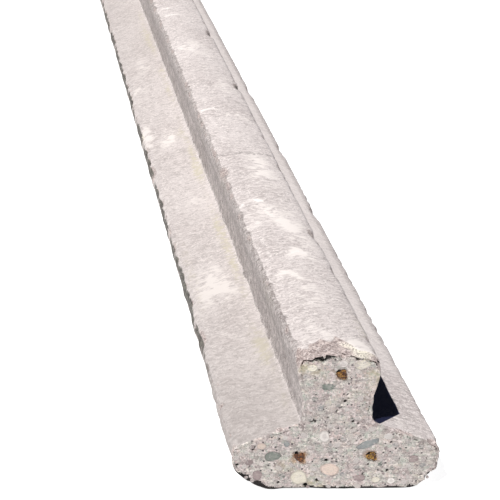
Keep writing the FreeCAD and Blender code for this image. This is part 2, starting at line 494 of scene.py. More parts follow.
# x, z, distance behind the near cut, length, and how much painted shade it gets
lost_chips = (
    (60, 29, 425, 9, 0), (60, 29, 567, 12, 0), (60, 30, 300, 7, 0), (23, 91, 422, 7, 1),
    (23, 91, 566, 9, 1), (23, 91, 150, 5, 0), (-23, 91, 250, 6, 0), (-60, 29, 118, 8, 0),
    (-60, 29, 380, 9, 0),
)
lost_chip_depth = 2.4


def ramp(values, none, full):
    """Eases from 0 where the value is none to 1 where it is full, both in millimetres."""
    return smooth((values / mm - none) / (full - none))


waves = 0.3 * mm * (0.5 + 0.5 * lay_noise(where, (30, 70, 30)))
waves += 0.16 * mm * np.clip(0.4 + lay_noise(where, (9, 5, 9), 2), 0, 2)
bitten = np.clip(2.4 * lay_noise(where, (12, 7, 12), 9) - 0.35, 0, 1)
bitten += np.clip(2.0 * lay_noise(where, (5, 3.2, 5), 4) - 0.45, 0, 1)
chipped = np.zeros(len(where))
for arris_x, arris_z, spread, depth in long_arrises:
    chipped += hill(x, z, arris_x, arris_z, spread) * bitten * depth
fins = np.clip(1.7 * lay_noise(where, (40, 8, 40), 17) + 0.25, 0, 1)
chipped_back = ramp(-x, 55, 59) * ramp(z, 12, 21) * 1.1 * (1 - fins)
# Painted shade darkens the chips with a shade share of 1, on the head's right arris.
chip_shade = np.zeros(len(where))
for arris_x, arris_z, along, length, shade_share in lost_chips:
    chip = np.exp(-(((near_depth / mm - along) / length) ** 4)) * hill(x, z, arris_x, arris_z, 4.2)
    chipped += chip * lost_chip_depth
    chip_shade = np.maximum(chip_shade, chip * shade_share)
skin = (waves + (chipped + chipped_back) * mm) * ramp(np.minimum(near_depth, far_depth), 0, 3)

on_side = (tube_row >= 0).astype(float)
moved = where - outward * ((shove_in + skin * on_side)[:, None])
moved[:, 1] += shove_along + np.where(on_near, sunk, 0) - np.where(on_far, sunk * 0.6, 0)
moved = np.clip(moved, np.array(body_low), np.array(body_high))
put_points(beam, moved)

# %% [markdown]
# ## Lime and algae
# The finish needs to know what is sawn, broken, hollow or stained and where shade or light is painted,
# and each such mark is kept at the mesh's points as a value from 0 to 1. Lime bloom and algae come
# first. They lie on the upper side in soft patches, which the moving mould drew into bows.

# %% Lay the lime and the algae
# middle x, distance behind the near cut, spread in x and along the beam (mm), strength
lime_places = (
    (-41, 176, 12, 26, 1.0), (-55, 449, 4, 26, 0.9), (-39, 430, 7, 24, 0.8), (-7, 178, 13, 16, 0.8),
    (6, 352, 12, 12, 0.5), (-55, 455, 5, 9, 1.0), (-13, 860, 7, 6, 1.0), (-50, 560, 8, 6, 0.9),
    (-12, 520, 6, 4, 0.7), (4, 120, 8, 5, 0.7), (-44, 110, 7, 4, 0.6), (-10, 95, 8, 4, 0.6),
    (10, 150, 9, 40, 0.5), (6, 250, 12, 34, 0.6), (36, 12, 6, 6, 0.6), (-35, 300, 12, 24, 0.35),
    (0, 520, 16, 34, 0.4), (0, 70, 16, 30, 0.35), (-8, 27, 12, 7, 0.6), (12, 14, 8, 5, 0.7),
    (-40, 620, 14, 34, 0.4), (10, 420, 12, 30, 0.4),
)
moss_places = (
    (-27, 85, 5, 28, 0.6), (-26, 244, 4, 22, 0.5), (-26, 347, 4, 14, 0.5), (-28, 431, 5, 14, 0.5),
    (-27, 700, 5, 42, 0.5), (-53, 200, 4, 60, 0.4), (20, 30, 4, 20, 0.4),
)
patch_bow = 0.12 / mm


def patches(places):
    """Soft bowed patches on the upper side of the beam."""
    total = np.zeros(len(where))
    for patch_x, patch_y, spread_x, spread_y, strength in places:
        aside = x - patch_x * mm
        bowed = near_depth - patch_y * mm + patch_bow * aside**2
        far = (aside / (spread_x * mm)) ** 2 + (bowed / (spread_y * mm)) ** 2
        total += strength * np.exp(-far)
    return np.clip(total, 0, 1) * np.clip(z / foot_z, 0, 1)


lime = patches(lime_places) * on_side
lime += 0.8 * hill(x, z, 13, 93.5, 6) * (near_depth < 9 * mm)
thick_and_thin = np.clip(0.5 + lay_noise(where, (90, 35, 90), 31), 0, 1)
moss = (patches(moss_places) + 0.9 * thick_and_thin * hill(x, z, -24.5, 47, 3.4)) * on_side
print("points with lime:", int((lime > 0.3).sum()), "and with algae:", int((moss > 0.3).sum()))

# %% [markdown]
# ## Stains and painted shade on the sawn end
# Algae creeps in from the rim and rust runs out of the strands. Painted shade blackens a strip along
# the lower edge, where the face turns under.

# %% Stain the sawn end and paint shade along its lower edge
sawn = ((on_near | on_far) * (1 - np.clip(broken, 0, 1))).astype(float)
# x, z, spread (mm), strength
end_stains = (
    (19, 81, 5, 0.8), (20, 70, 5, 0.4), (-20, 87, 5, 0.6), (-10, 84, 8, 0.45),
    (-28, 18, 7, 0.45), (-12, 3, 9, 0.6), (8, 66, 9, 0.3), (24, 30, 8, 0.25),
)
for stain_x, stain_z, spread, strength in end_stains:
    moss += sawn * strength * hill(x, z, stain_x, stain_z, spread)
rust = np.zeros(len(where))
for (axis_x, axis_z), spread in zip(strand_axes.values(), (5.2, 4.6, 4.2)):
    rust += hill(x, z, axis_x / mm, axis_z / mm, spread)
rust *= np.clip(sawn + broken, 0, 1)

underside_shade_width = 2.0 + 2.6 * hill(x, z, -49, 6, 9) + 0.8 * hill(x, z, -14, 0, 9)
underside_shade_width *= np.clip(0.9 + 1.3 * lay_noise(on_outline, 6, 12), 0.5, 1.8) * mm
facing_down = smooth(-2.2 * outward[:, 2] - 0.2)
# Painted shade: a black strip along the near end's lower rim, widest at the lower left corner.
black_shade = np.maximum(black_shade, facing_down * (from_edge < underside_shade_width)) * (near_depth < 2 * mm)
print("points on sawn concrete:", int((sawn > 0.5).sum()), "and black ones:", int((black_shade > 0.5).sum()))

# %% [markdown]
# ## Painted shade and light along the sides
# Painted shade darkens the flange's left side, under its arris. A painted shadow fills the recess below
# the head's right side near the end, painted shade darkens the left side of the waist and head, the left
# ledge, the head's top near the end and the right ledge's rim, and painted light brightens the rest of
# the right ledge. Marks are wide strips, so simple ramps across the section are enough.

# %% Paint shade and light on the long sides
side_shade_edge = 58.9 + 1.3 * lay_noise(where, (60, 16, 60), 21)
side_shade_edge += 1.0 * lay_noise(where, (20, 5, 20), 22)
# Painted shade: a dark mottled strip on the flange's left side face, weaker near the end.
painted_side_shade = smooth((-x / mm - side_shade_edge) / 1.2) * on_side
painted_side_shade *= 0.25 + 0.75 * ramp(near_depth, 50, 140)
painted_side_shade = np.maximum(painted_side_shade, chip_shade)

# Painted light brightens the right ledge, and its rim gets painted shade instead.
right_ledge = (x > 30 * mm) * (z < waist_root_z) * ramp(near_depth, 40, 120) * on_side
shaded_rim = ramp(x, 52, 57) * right_ledge
ledge_light = right_ledge * (1 - shaded_rim)

shoulder, head_edge = shoulder_z / mm, head_edge_z / mm
# Painted shadow: dark navy in the recess below the head's right side, fading out 110 to 260 mm behind the
# near end.
recess_shadow = ramp(x, 17, 18) * ramp(x, 42.6, 42.2) * ramp(z, shoulder - 2, shoulder - 8) * ramp(z, 34, 37)
recess_shadow *= ramp(near_depth, 260, 110) * on_side

wavering_z = z - 0.9 * mm * lay_noise(where, (9, 6, 9), 41)
# Painted shade darkens the left side of the waist and the head.
web_shade = (x < -19 * mm) * ramp(-x, 23.4, 23) * on_side
web_shade *= ramp(wavering_z, head_edge + 1.2, head_edge + 0.4) * ramp(wavering_z, 49.2, 50.4)
calm = (x < -17 * mm) * ramp(z, head_edge, head_edge - 3) * ramp(z, 42, 45) * on_side

# Painted shade darkens the left ledge, most near the end, the head's top near the end and the right
# ledge's rim.
upper_shade = (x < -waist_half) * ramp(z, 51, 48) * on_side
upper_shade *= 0.4 + 0.85 * np.exp(-near_depth / (110 * mm)) + 0.25 * ramp(near_depth, 400, 800)
upper_shade += 0.2 * (z > head_edge_z) * np.exp(-near_depth / (130 * mm)) * on_side
upper_shade += 0.45 * shaded_rim


def keep_at_points(piece, name, values):
    """Stores one value for each point of the piece."""
    layer = piece.data.attributes.new(name, "FLOAT", "POINT")
    layer.data.foreach_set("value", np.clip(values, 0, 1).astype(np.float32))


marks = {
    "calm": calm, "sawn": sawn, "broken": broken, "black_shade": black_shade, "lime": lime, "moss": moss,
    "rust": rust, "painted_side_shade": painted_side_shade, "chipped": chipped * on_side, "recess_shadow": recess_shadow, "web_shade": web_shade,
    "upper_shade": upper_shade, "ledge_light": ledge_light,
}
for name, values in marks.items():
    keep_at_points(beam, name, values)
work_on(beam)
bpy.ops.object.shade_smooth_by_angle(angle=math.radians(38))
print("sculpted beam:", len(beam.data.polygons), "faces with", len(marks), "marks")

# %% [markdown]
# ## Gravel cut by the saw
# The big stones were round river pebbles. Each is a ball knocked into a blunt lump by a few random
# flats, then cut by the saw plane and closed, so that its cut face lies just proud of the mortar.

# %% Model the named stones
# x, z, width, height (mm), turn (degrees)
near_stones = {
    "white_quartz": ((32.4, 6.0, 5.2, 4.5, 0), (-7.0, 39.0, 5.6, 8.6, 10), (2.0, 89.3, 5.2, 4.6, 0)),
    "cream_limestone": ((-21.0, 9.4, 9.8, 10.4, 20), (23.4, 6.9, 5.2, 4.4, 0),
                        (12.4, 88.4, 9.4, 5.6, 5), (-14.8, 86.7, 6.0, 4.4, 15)),
    "pink_granite": ((-3.3, 15.1, 12.0, 8.4, -8), (-42.6, 32.7, 5.7, 4.3, 0)),
    "green_grey": ((-36.0, 25.1, 9.7, 6.2, 10), (-6.0, 73.7, 8.2, 4.1, 0)),
    "blue_slate": ((17.8, 33.5, 15.5, 4.6, 25), (-28.2, 34.2, 3.6, 4.3, 0)),
    "mauve_sandstone": ((-44.7, 11.6, 5.7, 7.0, -10), (13.8, 8.5, 7.2, 4.5, 0),
                        (44.4, 22.0, 6.4, 5.0, 30)),
}
far_stones = {
    "white_quartz": ((-37.2, 11.3, 6.4, 5.0, 0), (9.0, 77.2, 7.0, 5.4, 30)),
    "cream_limestone": ((6.0, 9.4, 9.6, 7.0, -15), (-7.0, 88.6, 8.2, 5.2, 5)),
    "pink_granite": ((39.6, 13.2, 8.6, 6.4, 20), (6.0, 50.5, 7.4, 6.0, -10)),
    "green_grey": ((-7.2, 29.2, 9.0, 6.0, 10), (37.2, 32.0, 6.2, 4.8, 0)),
    "blue_slate": ((-43.2, 27.6, 7.6, 4.4, -20), (-8.4, 64.5, 8.4, 4.2, 35)),
    "mauve_sandstone": ((-12.0, 10.0, 6.0, 5.2, 0), (20.4, 6.3, 5.4, 4.6, 0)),
}
near_normal = Vector((saw_lean, 1, 0)).normalized()
far_normal = Vector((0, 1, 0))
stone_depth = 8.6 * mm
proud = 0.04 * mm
head_foot = 60
dust_in_flange, dust_in_head = 0.06, 0.3


def cut_ball(place, end, flats, fineness, hearted, dust):
    """One pebble with random flats, sawn flush with this end of the beam."""
    stone_x, stone_z, width, height, turn = place
    centre_y = near_plane_y(stone_x * mm) - proud if end == "near" else far_y
    middle = (stone_x * mm, centre_y, stone_z * mm)
    bpy.ops.object.select_all(action="DESELECT")
    bpy.ops.mesh.primitive_ico_sphere_add(subdivisions=fineness, radius=0.5)
    stone = bpy.context.object
    bpy.ops.object.mode_set(mode="EDIT")
    for _ in range(flats):
        lean = Vector((dice.gauss(0, 1), dice.gauss(0, 0.5), dice.gauss(0, 1))).normalized()
        cut_all(lean * dice.uniform(0.43, 0.48), lean, use_fill=True, clear_outer=True)
    if hearted:
        bpy.ops.object.mode_set(mode="OBJECT")
        lumps = points(stone)
        swell = 1 + 0.22 * lay_noise(lumps, 450, dice.uniform(0, 50))
        put_points(stone, lumps * np.clip(swell, 0.8, 1.15)[:, None])
        bpy.ops.object.mode_set(mode="EDIT")
    bpy.ops.mesh.select_all(action="SELECT")
    depth = min(stone_depth, 1.6 * min(width, height) * mm)
    bpy.ops.transform.resize(value=(width * mm, depth, height * mm), center_override=(0, 0, 0))
    bpy.ops.transform.rotate(value=math.radians(turn), orient_axis="Y", center_override=(0, 0, 0))
    bpy.ops.transform.translate(value=middle)
    normal = near_normal if end == "near" else -far_normal
    cut_all(middle, normal, use_fill=True, clear_inner=True, threshold=tiny)
    if hearted:
        bpy.ops.mesh.poke()
    bpy.ops.object.mode_set(mode="OBJECT")
    from_middle = points(stone) - middle
    size = 0.5 * mm * math.sqrt(width * height)
    keep_at_points(stone, "heart", 1 - np.linalg.norm(from_middle * (1, 0.4, 1), axis=1) / size)
    keep_at_points(stone, "shade", np.full(len(from_middle), dice.random()))
    keep_at_points(stone, "dust", np.full(len(from_middle), dust * dice.uniform(0.6, 1.2)))
    return stone


def joined(parts, name):
    """Joins the parts into one piece with this name."""
    bpy.ops.object.select_all(action="DESELECT")
    for part in parts:
        part.select_set(True)
    bpy.context.view_layer.objects.active = parts[0]
    if len(parts) > 1:
        bpy.ops.object.join()
    piece = bpy.context.object
    piece.name = name
    bpy.ops.object.transform_apply(location=True, rotation=True, scale=True)
    bpy.ops.object.shade_smooth_by_angle(angle=math.radians(30))
    return piece


stone_pieces = {}
for end, kinds in (("near", near_stones), ("far", far_stones)):
    for kind, places in kinds.items():
        balls = []
        for place in places:
            dust = dust_in_flange if place[1] < head_foot else dust_in_head
            balls.append(cut_ball(place, end, flats=6, fineness=4, hearted=True, dust=dust))
        stone_pieces[end, kind] = joined(balls, f"{end}_{kind}_stones")
print("stone pieces:", {p.name: len(p.data.polygons) for p in stone_pieces.values()})

# %% [markdown]
# ## Fine gravel
# Between the big stones the mix is full of grains one to five millimetres across. A few coarse lumps
# are enough for each. Grains that would touch a strand, a named stone or another grain are left out,
# and most are smeared with mortar. Two clean ones are listed.

# %% Scatter the fine gravel
gravel_kinds = ("white_quartz", "cream_limestone", "green_grey", "mauve_sandstone", "blue_slate",
                "pink_granite")
gravel_weights = (30, 18, 22, 16, 10, 14)
gravel_sizes = (1.4, 1.8, 1.8, 2.3, 2.8, 3.6)
gravel_dust, clean_dust = 0.6, 0.1
least_gap = 0.2
cost_of_a_miss = 0.02
clean_grains = {
    "white_quartz": [(29.2, 38.6, 5.4, 4.4, 0)],
    "mauve_sandstone": [(-49.5, 20.8, 4.8, 3.6, 20)],
}


def inside_by(x_mm, z_mm, margin):
    """Whether a place on the end face is at least this far inside the outline."""
    _, number, reach = outline.find((x_mm * mm, 0, z_mm * mm))
    way = (x_mm * mm - where[number, 0]) * outward[number, 0]
    way += (z_mm * mm - where[number, 2]) * outward[number, 2]
    return way < 0 and reach > margin * mm


def scatter(wanted, stones):
    """Places for fine grains among these stones, by kind of rock. Each miss lowers the number."""
    taken = [(p[0], p[1], 0.5 * math.hypot(p[2], p[3]) * 0.8) for ps in stones.values() for p in ps]
    taken += [(ax / mm, az / mm, 3.6) for ax, az in strand_axes.values()]
    found = {kind: [] for kind in gravel_kinds}
    count = 0
    while count < wanted:
        size = dice.choice(gravel_sizes)
        grain_x, grain_z = dice.uniform(-59, 59), dice.uniform(1, 94)
        if not inside_by(grain_x, grain_z, 0.6 * size + 1.2):
            continue
        gap = min(math.hypot(grain_x - tx, grain_z - tz) - tr - size * 0.6 for tx, tz, tr in taken)
        if gap < least_gap:
            wanted -= cost_of_a_miss
            continue
        taken.append((grain_x, grain_z, size * 0.6))
        kind = dice.choices(gravel_kinds, gravel_weights)[0]
        place = (grain_x, grain_z, size * dice.uniform(0.9, 1.5), size, dice.uniform(0, 180))
        found[kind].append(place)
        count += 1
    return found


for end, wanted, stones in (("near", 190, near_stones), ("far", 130, far_stones)):
    for kind, places in scatter(wanted, stones).items():
        clean = clean_grains.get(kind, []) if end == "near" else []
        grains = [
            cut_ball(place, end, flats=3, fineness=2, hearted=False, dust=dust)
            for some, dust in ((places, gravel_dust), (clean, clean_dust)) for place in some
        ]
        stone_pieces[end + "_fine", kind] = joined(grains, f"{end}_{kind}_fine_gravel")
fine = [piece for (end, _), piece in stone_pieces.items() if "fine" in end]
print("fine gravel:", {piece.name: len(piece.data.polygons) for piece in fine})

# %% [markdown]
# ## The strands
# Each strand is three cold-drawn wires laid round each other. One wire is a small ring swept along a
# helix by the screw modifier, then sawn off with the concrete. Its cut end keeps a thin burr.

# %% Lay the wires
wire_radius = 1.5 * mm
wire_reach = 1.761 * mm
strand_lay = 91 * mm
wires = {}


def laid_wire(name, axis_x, axis_z, number, gold):
    """One wire of a strand, laid from end to end and sawn off."""
    start_y = near_y - 15 * mm
    length = far_y + 5 * mm - start_y
    turns = length / strand_lay
    start = 2 * math.pi * number / 3
    bpy.ops.object.select_all(action="DESELECT")
    bpy.ops.mesh.primitive_circle_add(
        vertices=12, radius=wire_radius, rotation=(math.pi / 2, 0, 0),
        location=(wire_reach * math.cos(start), 0, wire_reach * math.sin(start)),
    )
    wire = bpy.context.object
    bpy.ops.object.transform_apply(location=True, rotation=True, scale=True)
    sweep = wire.modifiers.new("lay", "SCREW")
    sweep.axis = "Y"
    sweep.angle = turns * 2 * math.pi
    sweep.screw_offset = length
    sweep.steps = sweep.render_steps = round(turns * 26)
    sweep.use_merge_vertices = False
    bpy.ops.object.modifier_apply(modifier="lay")
    bpy.ops.object.mode_set(mode="EDIT")
    bpy.ops.mesh.select_all(action="SELECT")
    bpy.ops.transform.translate(value=(axis_x, start_y, axis_z))
    cut_y = near_plane_y(axis_x) - dice.uniform(0.1, 0.5) * mm
    cut_all((axis_x, cut_y, axis_z), near_normal, use_fill=True, clear_inner=True)
    bpy.ops.mesh.inset(thickness=0.25 * mm, depth=-0.1 * mm)
    bpy.ops.mesh.inset(thickness=0.5 * mm, depth=0.12 * mm)
    cut_all((0, far_y, 0), far_normal, use_fill=True, clear_outer=True, threshold=tiny)
    bpy.ops.mesh.inset(thickness=0.25 * mm, depth=0)
    bpy.ops.mesh.select_all(action="SELECT")
    bpy.ops.mesh.normals_make_consistent(inside=False)
    bpy.ops.object.mode_set(mode="OBJECT")
    keep_at_points(wire, "shade", np.full(len(wire.data.vertices), gold))
    return joined([wire], name)


for (strand, (axis_x, axis_z)), gold in zip(strand_axes.items(), (0.1, 0.9, 0.55)):
    for number in range(3):
        wires[f"{strand}_wire_{number + 1}"] = laid_wire(
            f"{strand}_rusty_wire_{number + 1}", axis_x, axis_z, number, gold
        )
print("wires:", {p.name: len(p.data.polygons) for p in wires.values()})

# %% [markdown]
# ## Shader maths as plain sums
# A finish is a recipe of noises, mixed by sums. One small class wraps a socket, so that its values
# can be added, subtracted and multiplied in plain Python. Every node comes from one method, which
# takes its type, its settings and what its sockets are fed with.

# %% Wrap sockets
class Value:
    """A value on its way through a finish's nodes."""

    def __init__(self, finish, socket):
        self.finish = finish
        self.socket = socket

    def maths(self, operation, other=0.0, swap=False):
        sides = (other, self) if swap else (self, other)
        return self.finish.node("ShaderNodeMath", {"operation": operation}, dict(enumerate(sides)))

    def __add__(self, other):
        return self.maths("ADD", other)

    def __radd__(self, other):
        return self.maths("ADD", other, swap=True)

    def __sub__(self, other):
        return self.maths("SUBTRACT", other)

    def __rsub__(self, other):
        return self.maths("SUBTRACT", other, swap=True)

    def __mul__(self, other):
        return self.maths("MULTIPLY", other)

    def __rmul__(self, other):
        return self.maths("MULTIPLY", other, swap=True)

    def between(self, low, high):
        """0 below low, 1 above high, and eased between them."""
        sockets = {"Value": self, "From Min": low, "From Max": high}
        return self.finish.node("ShaderNodeMapRange", {"interpolation_type": "SMOOTHSTEP"}, sockets)


class Finish:
    """A material being mixed. Sizes are in millimetres, colours in red, green and blue to 255."""

    def __init__(self, name):
        self.material = bpy.data.materials.new(name)
        self.material.use_nodes = True
        self.tree = self.material.node_tree
        self.shader = self.tree.nodes["Principled BSDF"]
        self.place = self.node("ShaderNodeTexCoord", out="Object")

    def node(self, kind, settings=None, sockets=None, out=0):
        """Adds a node, makes its settings, feeds its sockets, and gives one of its outputs."""
        node = self.tree.nodes.new(kind)
        for key, value in (settings or {}).items():
            setattr(node, key, value)
        for key, value in (sockets or {}).items():
            self.feed(node.inputs[key], value)
        return Value(self, node.outputs[out])

    def feed(self, socket, value):
        if isinstance(value, Value):
            self.tree.links.new(value.socket, socket)
        else:
            socket.default_value = value

    def stretched(self, sizes, shift=(0, 0, 0)):
        """The place, counted in steps of these sizes."""
        scale = tuple(1 / (size * mm) for size in sizes)
        scaled = self.node("ShaderNodeVectorMath", {"operation": "MULTIPLY"},
                           {0: self.place, 1: scale})
        return self.node("ShaderNodeVectorMath", {"operation": "ADD"}, {0: scaled, 1: shift})

    def noise(self, sizes, detail=3.0, shift=(0, 0, 0), distortion=0.0):
        """Smooth noise, about 0.3 to 0.7."""
        sockets = {"Vector": self.stretched(sizes, shift), "Scale": 1.0, "Detail": detail,
                   "Roughness": 0.55, "Distortion": distortion}
        return self.node("ShaderNodeTexNoise", None, sockets)

    def cells(self, size, shift=(0, 0, 0), out="Distance"):
        """Cells about size across: the distance from each one's middle, or its own colour."""
        sockets = {"Vector": self.stretched((size, size, size), shift), "Scale": 1.0}
        return self.node("ShaderNodeTexVoronoi", None, sockets, out)

    def split(self, value, parts):
        """The X, Y and Z of a place, or the Red, Green or Blue of a colour."""
        kind, socket = ("XYZ", "Vector") if "X" in parts else ("Color", "Color")
        return [self.node("ShaderNodeSeparate" + kind, None, {socket: value}, part) for part in parts]

    def mark(self, name):
        """A value kept at the mesh's points."""
        return self.node("ShaderNodeAttribute", {"attribute_name": name}, out="Fac")

    def mix(self, share, first, second):
        """Mixes two colours. The Mix node's colour sockets are its inputs 6 and 7 and its output 2."""
        colours = [each if isinstance(each, Value) else rgb(*each) for each in (first, second)]
        sockets = {0: share, 6: colours[0], 7: colours[1]}
        return self.node("ShaderNodeMix", {"data_type": "RGBA"}, sockets, out=2)

    def layered(self, colour, *layers):
        """Lays more colours over this one, each with its own share."""
        for share, over in layers:
            colour = self.mix(share, colour, over)
        return colour

    def show(self, colour, roughness, relief, depth, strength):
        """Gives the shader its colour, its roughness and a relief of this depth."""
        self.feed(self.shader.inputs["Base Color"], colour)
        self.feed(self.shader.inputs["Roughness"], roughness)
        sockets = {"Height": relief, "Distance": depth * mm, "Strength": strength}
        self.feed(self.shader.inputs["Normal"], self.node("ShaderNodeBump", None, sockets))


def rgb(red, green, blue):
    """A colour given as 0..255 on screen, in the light's own scale."""
    return tuple((c / 255 / 12.92 if c <= 10 else ((c / 255 + 0.055) / 1.055) ** 2.4)
                 for c in (red, green, blue)) + (1.0,)


print("maths for finishes:", [name for name in dir(Value) if "add" in name or "mul" in name])

# %% [markdown]
# ## The moulded concrete
# The moving mould left fine streaks across the beam and dragged them into bows. Clouds, blots and
# crumbs break them up, and lime, algae and dull or bleached patches lie over them.

# %% Mix the moulded sides
c = Finish("weathered_concrete")
along_x, along_y, along_z = c.split(c.place, "XYZ")
drag_slope = 0.43
clouds = c.noise((45, 60, 45), detail=3, shift=(9, 4, 1))
drag = (along_x + waist_half).maths("MINIMUM", 0.0) * drag_slope + clouds * 24 * mm
c.place = c.node("ShaderNodeCombineXYZ", None, {"X": along_x, "Y": along_y + drag, "Z": along_z})
streaks = c.noise((5.5, 1.5, 5.5), detail=4)
long_streaks = c.noise((22, 2.4, 22), detail=4, shift=(4, 2, 9))
blots = c.noise((11, 8, 11), detail=4, shift=(6, 6, 3))
mottle = c.noise((4.5, 3, 4.5), detail=4, shift=(2, 8, 5))
grain = c.noise((1.1, 0.9, 1.1), detail=3, shift=(5, 5, 2))
crumbs = c.noise((2.2, 1.4, 2.2), detail=3, shift=(1, 9, 4))

lime_share = c.mark("lime") * (0.25 + blots.between(0.4, 0.58) + 0.5 * streaks.between(0.4, 0.6))
moss_share = c.mark("moss") * (0.3 + mottle.between(0.4, 0.6))
side = c.layered(
    (206, 196, 193),
    (clouds.between(0.38, 0.62), (224, 215, 212)),
    (blots.between(0.48, 0.64) * 0.4, (190, 181, 178)),
    (mottle.between(0.48, 0.64) * 0.6, (180, 171, 168)),
    (streaks.between(0.46, 0.6) * 0.7, (238, 229, 226)),
    (long_streaks.between(0.54, 0.68) * 0.4, (184, 175, 173)),
    (crumbs.between(0.54, 0.64) * 0.75, (248, 240, 236)),
    (grain.between(0.54, 0.66) * 0.5, (140, 132, 129)),
    (lime_share.between(0.1, 0.9), (248, 240, 235)),
    (moss_share.between(0.05, 1.0) * 0.7, (214, 206, 180)),
)
print("nodes for the moulded sides:", len(c.tree.nodes))

# %% [markdown]
# ## Lime bows, a hairline and a painted shadow
# On top of the head the lime stands in narrow bows, and a hairline crack crosses it. The painted shadow
# in the right-hand recess ends in a slanting line, like the head's cast shadow. Thin marks like these
# would look jagged at the mesh's points, so the finish works them out from the place.

# %% Draw the thin marks
# middle x, distance behind the near cut, bow, half width, thickness (mm)
lime_arcs = (
    (-10, 196, 0.085, 13, 3.4), (-13, 367, 0.08, 11, 2.8), (-11, 640, 0.03, 7, 3.0),
    (-8, 618, 0.03, 10, 2.4), (8, 352, 0.05, 6, 2.0), (4, 120, 0.06, 9, 1.6),
)
hairline_y = 275
shadow_slant = 1.13
shadow_start = 26.5 * mm
on_head = along_z.between(88.5 * mm, 90.5 * mm)


def behind_cut(distance, wander):
    """How far a place lies behind a wandering line, this far behind the near cut (mm)."""
    straight = along_y - (near_y + distance * mm) + along_x * saw_lean
    return straight + (mottle - 0.5) * wander * mm


def within(value, reach, fade):
    """1 where the value is near 0, and 0 from the reach outwards (mm)."""
    return (reach * mm - value.maths("ABSOLUTE")).between(0.0, fade * mm)


for arc_x, arc_y, bow, half_width, thickness in lime_arcs:
    aside = along_x - arc_x * mm
    bowed = behind_cut(arc_y, wander=9) + aside * aside * (bow / mm)
    arc = within(bowed, thickness, 0.7 * thickness) * within(aside, half_width, 7)
    arc = arc * (0.45 + 0.8 * blots.between(0.38, 0.58))
    side = c.mix(arc * on_head * 0.9, side, (252, 245, 241))
hairline = within(behind_cut(hairline_y, wander=14), 1.3, 0.9) * within(along_x, 20, 3)
patchy = 0.45 * crumbs.between(0.4, 0.56) + 0.35 * grain.between(0.44, 0.56)
patchy = patchy + 0.36 * mottle.between(0.42, 0.56) + 0.12
# Painted shadow: its front edge slants like the head's cast shadow on the right ledge.
in_shade = along_y - near_y + along_x * (saw_lean - shadow_slant) + shadow_start
recess_shadow_share = (c.mark("recess_shadow") + 0.8 * (blots - 0.5)).between(0.25, 0.6)
side = c.layered(
    side,
    (hairline * on_head * 0.45, (120, 112, 110)),
    # Painted light on the right ledge.
    (c.mark("ledge_light") * 0.5, (242, 234, 230)),
    # Painted shade on the left ledge, the head's top near the end and the right rim.
    (c.mark("upper_shade") * 0.55, (150, 144, 140)),
    # Painted shade on the left side of the waist and the head.
    (c.mark("web_shade").between(0.3, 0.7) * patchy * 0.6, (98, 90, 87)),
    # Painted shadow in the right-hand recess.
    (recess_shadow_share * in_shade.between(-0.3 * mm, 0.3 * mm), (23, 28, 58)),
)
print("nodes with the thin marks:", len(c.tree.nodes))

# %% [markdown]
# ## The sawn face
# Sawn mortar is darker and full of sand in many colours, with small bubbles blackened by painted shade,
# saw lines, algae from the rim and rusty rings round the strands.

# %% Mix the sawn face
sand, fine_sand = c.cells(2.1), c.cells(0.95, shift=(4, 4, 4))
sand_hue, sand_lot = c.split(c.cells(2.1, out="Color"), ("Red", "Green"))
fine_hue, fine_lot = c.split(c.cells(0.95, shift=(4, 4, 4), out="Color"), ("Red", "Blue"))
saw_lines = c.noise((40, 40, 1.1), detail=3, shift=(1, 2, 3))
tint = c.noise((7, 7, 5), detail=3, shift=(12, 3, 8))
# Bubbles are small dents, and their dark colour is painted shade.
bubble_dents_and_shade = (0.2 - c.cells(3.1, shift=(7, 1, 2))).between(0.0, 0.06)
bubble_dents_and_shade = bubble_dents_and_shade * c.noise((6, 6, 6), shift=(8, 8, 1)).between(0.54, 0.62)
grit = c.mix(fine_hue.between(0.2, 0.8), (136, 128, 126), (222, 213, 206))
pale = c.mix(sand_hue.between(0.4, 0.6), (168, 172, 164), (232, 224, 214))
moss_on_face = c.mark("moss") * (0.4 + mottle.between(0.35, 0.65))
rust_share = c.mark("rust") * (0.25 + 1.1 * mottle.between(0.35, 0.7))
face = c.layered(
    (200, 185, 183),
    (blots.between(0.38, 0.62), (202, 199, 190)),
    (tint.between(0.52, 0.62) * 0.55, (172, 182, 170)),
    ((0.46 - tint).between(0.0, 0.1) * 0.5, (222, 198, 190)),
    (mottle.between(0.46, 0.6) * 0.7, (154, 142, 139)),
    (crumbs.between(0.5, 0.64) * 0.75, (232, 221, 217)),
    (grain.between(0.54, 0.66) * 0.55, (118, 108, 106)),
    ((0.42 - fine_sand).between(0.0, 0.1) * fine_lot.between(0.3, 0.5) * 0.75, grit),
    ((0.40 - sand).between(0.0, 0.08) * sand_lot.between(0.55, 0.62) * 0.8, pale),
    ((0.36 - sand).between(0.0, 0.08) * (0.14 - sand_lot).between(0.0, 0.03), (92, 88, 88)),
    (saw_lines.between(0.5, 0.66) * 0.5, (158, 150, 148)),
    (bubble_dents_and_shade * 0.65, (88, 80, 80)),
    (moss_on_face.between(0.05, 1.1) * 0.55, (196, 186, 146)),
    (rust_share.between(0.08, 1.1) * 0.85, (176, 128, 72)),
)
print("nodes with the sawn face:", len(c.tree.nodes))

# %% [markdown]
# ## Torn mortar, painted shade and the whole
# Broken places are pinkish and rough. The marks kept at the points say where each finish shows, and
# the painted shade on the left side and the painted black in pits, the crack and the lower edge come
# last.

